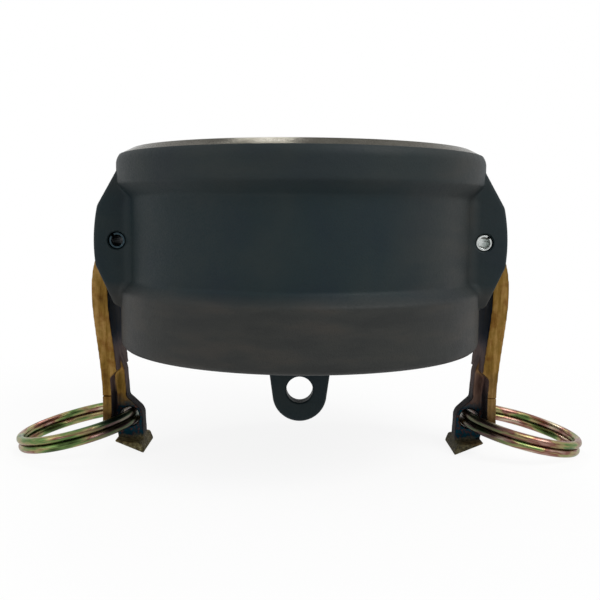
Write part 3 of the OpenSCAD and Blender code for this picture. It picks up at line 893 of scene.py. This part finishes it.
# One handle, at the right: the slabs become one skin, its edges and corners are softened as a forging's
# are, and the two holes are then drilled.
def makeHandle():
    h, things = handle, []
    for k, form in enumerate(handleForms()):
        thing = makeObject(facingOut(makeMesh("form", *form, [handleMaterial])))
        if k < 2:
            carve(thing, camFlat(), "DIFFERENCE", [handleMaterial])
        things.append(thing)
    parts = []
    for thing in things:
        mesh = thing.data
        points = np.zeros(len(mesh.vertices) * 3)
        mesh.vertices.foreach_get("co", points)
        parts.append((points.reshape(-1, 3) / mm, [list(face.vertices) for face in mesh.polygons]))
        bpy.data.objects.remove(thing)
        bpy.data.meshes.remove(mesh)
    whole = makeObject(makeMesh("camHandleRight", *joined(parts), [handleMaterial]))
    withModifiers(whole, [
        ("REMESH", dict(mode="VOXEL", voxel_size=h["voxel"] * mm)),
        ("SMOOTH", dict(factor=0.5, iterations=h["smoothing"]))])
    hole = boredHole((ear["pinX"], 0, ear["pinZ"]), 3.255, h["headHalf"], 0.3)
    eyeHole = boredHole((h["eyeX"], 0, h["eyeZ"]), h["eyeHole"], h["ribHalf"], 0.5)
    carve(whole, joined([hole, eyeHole]), "DIFFERENCE", [handleMaterial])
    carve(whole, flangeCrease(), "DIFFERENCE", [handleMaterial])
    return whole


rightHandle = makeHandle()
leftMesh = rightHandle.data.copy()
leftMesh.name = "camHandleLeft"
leftMesh.transform(Matrix.Scale(-1, 4, (1, 0, 0)))
leftMesh.flip_normals()
leftHandle = makeObject(leftMesh)
finish(leftHandle, "left_handle", "cam_handle_left")
finish(rightHandle, "right_handle", "cam_handle_right")


ring = dict(wire=3.04, across=44.2, inward=1.3, gap=0.02, crossing=44, free=3, crossingAt=140)


# Wire of two turns: a round section carried along a circle whose height steps up by one pitch over the
# crossing, and then the whole ring sloped from the eye down to the table.
def makeRing(name, side):
    r = ring
    half, radius = r["wire"] / 2, r["across"] / 2
    pitch = r["wire"] + r["gap"]
    span = r["crossing"] / 2
    # both turns have their points at the same angles, so that their facets stay parallel
    degrees = np.concatenate([np.arange(span + r["free"], 360 - span, 2),
                              np.linspace(360 - span, 360 + span, 34),
                              np.arange(360 + span + 1, 720 - span - r["free"] + 1, 2)])
    u = np.clip((degrees - 360 + span) / r["crossing"], 0, 1)
    height = pitch * (u * u * (3 - 2 * u) - 0.5)
    angle = np.radians(degrees)
    about = np.arange(28) / 28 * turn
    out = radius + half * np.cos(about)[None] + 0 * height[:, None]
    up = height[:, None] + half * np.sin(about)[None]
    rows = np.stack([out * np.cos(angle)[:, None], out * np.sin(angle)[:, None], up], -1)
    # each end closes with a short domed cap
    caps = []
    for index, direction in ((0, -1), (-1, 1)):
        centre = rows[index].mean(0)
        tangent = direction * np.array([-math.sin(angle[index]), math.cos(angle[index]), 0])
        dome = np.array([(0.16, 0.93), (0.24, 0.8), (0.28, 0.4), (0.29, 0.0)])[:, :, None, None]
        caps.append(centre + (rows[index] - centre)[None] * dome[:, 1] + tangent * dome[:, 0])
    rows = np.concatenate([caps[0][::-1], rows, caps[1]])
    spin = math.radians(r["crossingAt"])
    x = rows[..., 0] * math.cos(spin) - rows[..., 1] * math.sin(spin) + radius - r["inward"]
    y = rows[..., 0] * math.sin(spin) + rows[..., 1] * math.cos(spin)
    z = rows[..., 2]
    reach = handle["eyeZ"] - handle["toeZ"] - half
    far = r["across"] - r["inward"]
    slope = math.asin(reach / math.hypot(far, pitch / 2)) - math.atan2(pitch / 2, far)
    place = np.stack([side * (handle["eyeX"] + x * math.cos(slope) + z * math.sin(slope)), y,
                      handle["eyeZ"] - x * math.sin(slope) + z * math.cos(slope)], -1)
    count = len(about)
    mesh = makeMesh(name, place.reshape(-1, 3), gridFaces(len(rows), count).tolist(), [wireMaterial])
    # UV in metres: along the wire, and round it
    length = np.concatenate([[0], np.cumsum(np.linalg.norm(np.diff(place.mean(1), axis=0), axis=1))]) * mm
    loops = np.zeros(len(mesh.loops), np.int32)
    mesh.loops.foreach_get("vertex_index", loops)
    faceOf = np.repeat(np.arange(len(mesh.polygons)), 4)
    columnFace = faceOf % count
    column = loops % count
    wrap = (columnFace == count - 1) & (column == 0)
    around = (column + wrap * count) / count * turn * half * mm
    uv = mesh.uv_layers.new(name="wire")
    along = length[loops // count] + side * 0.37
    uv.data.foreach_set("uv", np.stack([along, around], -1).astype(np.float32).ravel())
    thing = makeObject(facingOut(mesh))
    word = "right" if side > 0 else "left"
    finish(thing, word + "_ring", "pull_ring_" + word, 60)


makeRing("splitRingLeft", -1)
makeRing("splitRingRight", 1)
